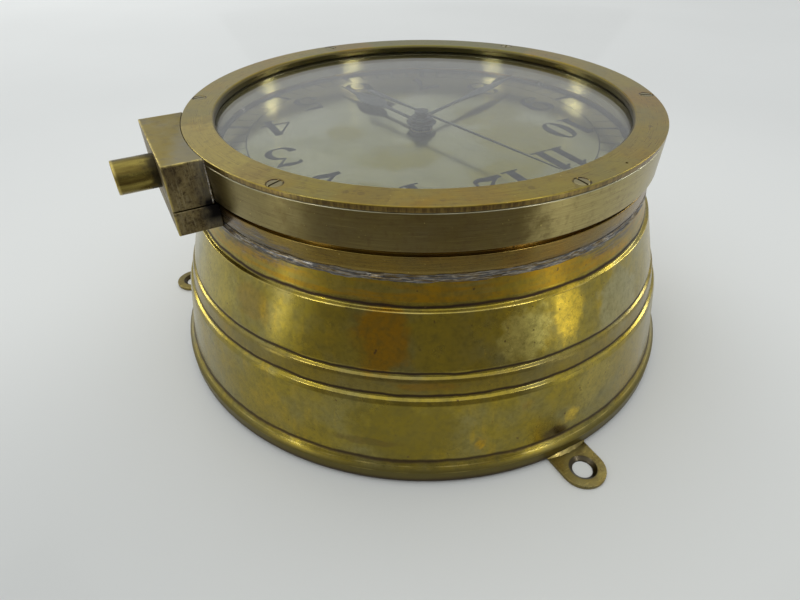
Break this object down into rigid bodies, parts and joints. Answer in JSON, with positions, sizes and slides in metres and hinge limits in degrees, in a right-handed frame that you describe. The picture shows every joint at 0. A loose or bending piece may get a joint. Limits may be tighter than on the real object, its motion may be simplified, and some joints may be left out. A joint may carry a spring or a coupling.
{
  "type": "ships deck clock",
  "caption": "Round brass marine clock with a stepped conical case, hinged lockable bezel, Arabic dial, spade hands and screw lugs.",
  "frame": {"origin": "centre of the flat back, on the clock's axis", "axes": "+Z out of the dial, +Y towards twelve o'clock, +X towards three o'clock"},
  "size_m": [0.2157, 0.2249, 0.0944],
  "materials": {
    "spun_brass": "polished spun sheet with patina",
    "turned_brass": "brushed",
    "ring_brass": "satin, circular brushing",
    "block_brass": "dark patina",
    "screw_brass": "satin",
    "movement_brass": "machined",
    "steel": "satin",
    "silvered_dial": "lacquered silvered",
    "dark_hands": "blued steel",
    "glass": "clear",
    "gasket": "matte"
  },
  "bodies": {
    "case": {"case_body": "spun_brass", "case_flange": "turned_brass", "back_plate": "spun_brass", "mounting_lug_12": "spun_brass", "mounting_lug_4": "spun_brass", "mounting_lug_8": "spun_brass", "keeper_block": "block_brass", "hinge_case_leaf": "turned_brass", "hinge_pin": "turned_brass", "movement_rear_plate": "movement_brass", "movement_front_plate": "movement_brass", "movement_pillar_1": "movement_brass", "movement_pillar_2": "movement_brass", "movement_pillar_3": "movement_brass", "movement_pillar_4": "movement_brass", "dial_foot_1": "movement_brass", "dial_foot_2": "movement_brass", "dial_foot_3": "movement_brass", "dial": "silvered_dial", "dial_screw_1": "steel", "dial_screw_2": "steel", "dial_screw_3": "steel", "balance_cock": "movement_brass"},
    "bezel": {"bezel_band": "turned_brass", "retaining_ring": "ring_brass", "bezel_screw_1": "screw_brass", "bezel_screw_2": "screw_brass", "bezel_screw_3": "screw_brass", "bezel_screw_4": "screw_brass", "bezel_screw_5": "screw_brass", "bezel_screw_6": "screw_brass", "glass": "glass", "glass_gasket": "gasket", "lock_block": "block_brass", "lock_barrel": "turned_brass", "hinge_bezel_leaf": "turned_brass"},
    "lock": {"lock_spindle": "steel", "lock_cam": "movement_brass"},
    "centre": {"centre_arbor": "steel", "centre_wheel": "movement_brass", "cannon_pinion": "steel", "minute_hand": "dark_hands"},
    "hour": {"hour_wheel": "movement_brass", "hour_hand": "dark_hands"},
    "motion": {"minute_wheel": "movement_brass"},
    "intermediate": {"intermediate_wheel": "movement_brass"},
    "barrel": {"mainspring_barrel": "movement_brass", "barrel_cover": "movement_brass", "mainspring": "steel"},
    "winding": {"winding_arbor": "steel", "ratchet_wheel": "steel"},
    "click": {"click": "steel"},
    "third": {"third_wheel": "movement_brass"},
    "fourth": {"fourth_wheel": "movement_brass"},
    "seconds": {"seconds_arbor": "steel", "seconds_hand": "dark_hands"},
    "escape": {"escape_wheel": "movement_brass"},
    "lever": {"pallet_lever": "steel"},
    "balance": {"balance_wheel": "movement_brass", "hairspring": "steel"}
  },
  "joints": [
    {"name": "bezel_hinge", "type": "hinge", "parent": "case", "child": "bezel", "pos_m": [-0.0913, 0, 0.0791], "axis": [0, -1, 0], "range_deg": [0, 110]},
    {"name": "lock_turn", "type": "hinge", "parent": "bezel", "child": "lock", "pos_m": [0.0983, 0, 0.0865], "axis": [-1, 0, 0], "range_deg": [0, 90]},
    {"name": "minute_hand_turn", "type": "hinge", "parent": "case", "child": "centre", "pos_m": [0, 0, 0.06], "axis": [0, 0, -1], "continuous": true},
    {"name": "hour_hand_turn", "type": "hinge", "parent": "case", "child": "hour", "pos_m": [0, 0, 0.074], "axis": [0, 0, -1], "continuous": true},
    {"name": "motion_wheel_turn", "type": "hinge", "parent": "case", "child": "motion", "pos_m": [-0.006, 0.01039, 0.07], "axis": [0, 0, -1], "continuous": true},
    {"name": "intermediate_turn", "type": "hinge", "parent": "case", "child": "intermediate", "pos_m": [-0.01936, -0.01127, 0.055], "axis": [0, 0, -1], "continuous": true},
    {"name": "barrel_turn", "type": "hinge", "parent": "case", "child": "barrel", "pos_m": [0, -0.0315, 0.048], "axis": [0, 0, -1], "continuous": true},
    {"name": "winding_turn", "type": "hinge", "parent": "case", "child": "winding", "pos_m": [0, -0.0315, 0.06], "axis": [0, 0, -1], "range_deg": [0, 1908]},
    {"name": "click_pivot", "type": "hinge", "parent": "case", "child": "click", "pos_m": [0.0126, -0.0347, 0.069], "axis": [0, 0, -1], "range_deg": [0, 10], "stiffness_Nm_per_rad": 0.00002},
    {"name": "third_turn", "type": "hinge", "parent": "case", "child": "third", "pos_m": [0.0108, 0.01871, 0.055], "axis": [0, 0, -1], "continuous": true},
    {"name": "fourth_turn", "type": "hinge", "parent": "case", "child": "fourth", "pos_m": [0.03207, 0.02246, 0.055], "axis": [0, 0, -1], "continuous": true},
    {"name": "seconds_hand_turn", "type": "hinge", "parent": "case", "child": "seconds", "pos_m": [0, 0, 0.06], "axis": [0, 0, -1], "continuous": true},
    {"name": "escape_turn", "type": "hinge", "parent": "case", "child": "escape", "pos_m": [0.04032, 0.00817, 0.05], "axis": [0, 0, -1], "continuous": true},
    {"name": "balance_swing", "type": "hinge", "parent": "case", "child": "balance", "pos_m": [0.03989, -0.01498, 0.048], "axis": [0, 0, -1], "range_deg": [-220, 220], "stiffness_Nm_per_rad": 0.00006},
    {"name": "lever_rock", "type": "hinge", "parent": "case", "child": "lever", "pos_m": [0.04215, -0.00217, 0.044], "axis": [0, 0, -1], "range_deg": [-6, 6]}
  ],
  "couplings": [
    {"joint": "hour_hand_turn", "follows": "minute_hand_turn", "ratio": 0.083333},
    {"joint": "motion_wheel_turn", "follows": "minute_hand_turn", "ratio": -0.33333},
    {"joint": "intermediate_turn", "follows": "minute_hand_turn", "ratio": -0.16667},
    {"joint": "barrel_turn", "follows": "minute_hand_turn", "ratio": 0.027778},
    {"joint": "third_turn", "follows": "minute_hand_turn", "ratio": -8},
    {"joint": "fourth_turn", "follows": "minute_hand_turn", "ratio": 60},
    {"joint": "seconds_hand_turn", "follows": "minute_hand_turn", "ratio": 60},
    {"joint": "escape_turn", "follows": "minute_hand_turn", "ratio": -600},
    {"joint": "lever_rock", "follows": "balance_swing", "ratio": -0.027273}
  ]
}
